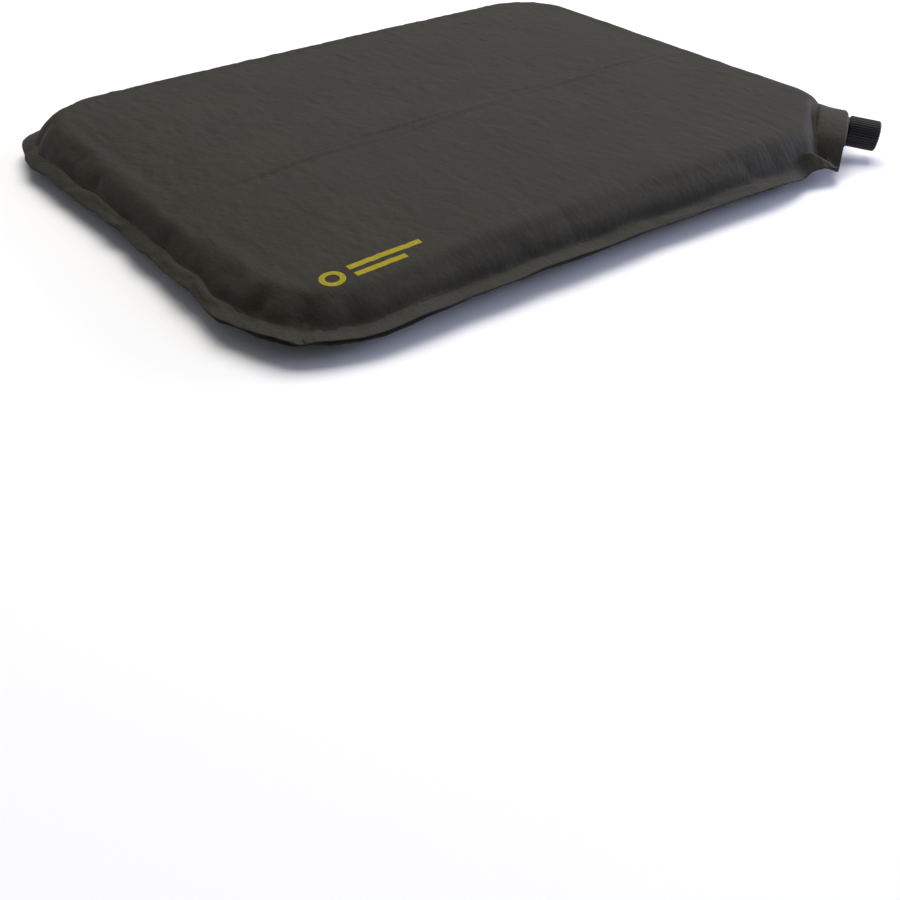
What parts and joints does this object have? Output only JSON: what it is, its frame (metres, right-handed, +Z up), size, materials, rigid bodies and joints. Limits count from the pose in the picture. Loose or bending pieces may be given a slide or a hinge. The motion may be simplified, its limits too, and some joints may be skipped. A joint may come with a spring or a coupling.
{
  "type": "self-inflating seat pad",
  "caption": "Self-inflating foam seat pad for the outdoors, two coated fabric sheets welded round a foam core, with a twist-open air valve in a cut corner.",
  "frame": {"origin": "centre of the flat underside, on the surface that the pad lies on", "axes": "+X along the pad's length, towards the valve's end; +Y across it, away from the valve's side; +Z up, out of the seat"},
  "size_m": [0.406, 0.33, 0.03],
  "materials": {
    "coated_fabric": "matte woven polyester, coated and airtight inside",
    "open_cell_foam": "soft open-cell polyurethane foam",
    "yellow_print": "thin matte film printed on the fabric",
    "black_plastic": "moulded, lightly textured",
    "black_rubber": "matte"
  },
  "bodies": {
    "pad": {"top_sheet": "coated_fabric", "bottom_sheet": "coated_fabric", "foam_core": "open_cell_foam", "printed_mark": "yellow_print", "valve_body": "black_plastic", "valve_plug": "black_plastic", "stem_o_ring": "black_rubber"},
    "seal": {"cap_seal": "black_rubber"},
    "cap": {"valve_cap": "black_plastic"}
  },
  "joints": [
    {"name": "cap_travel", "type": "slide", "parent": "pad", "child": "seal", "axis": [0.6433, -0.7528, -0.1392], "range_m": [0, 0.0032]},
    {"name": "cap_turn", "type": "hinge", "parent": "seal", "child": "cap", "pos_m": [0.1755, -0.1415, 0.0155], "axis": [0.6433, -0.7528, -0.1392], "range_deg": [0, 360]}
  ],
  "couplings": [
    {"joint": "cap_turn", "follows": "cap_travel", "rad_per_m": 1963.5}
  ]
}
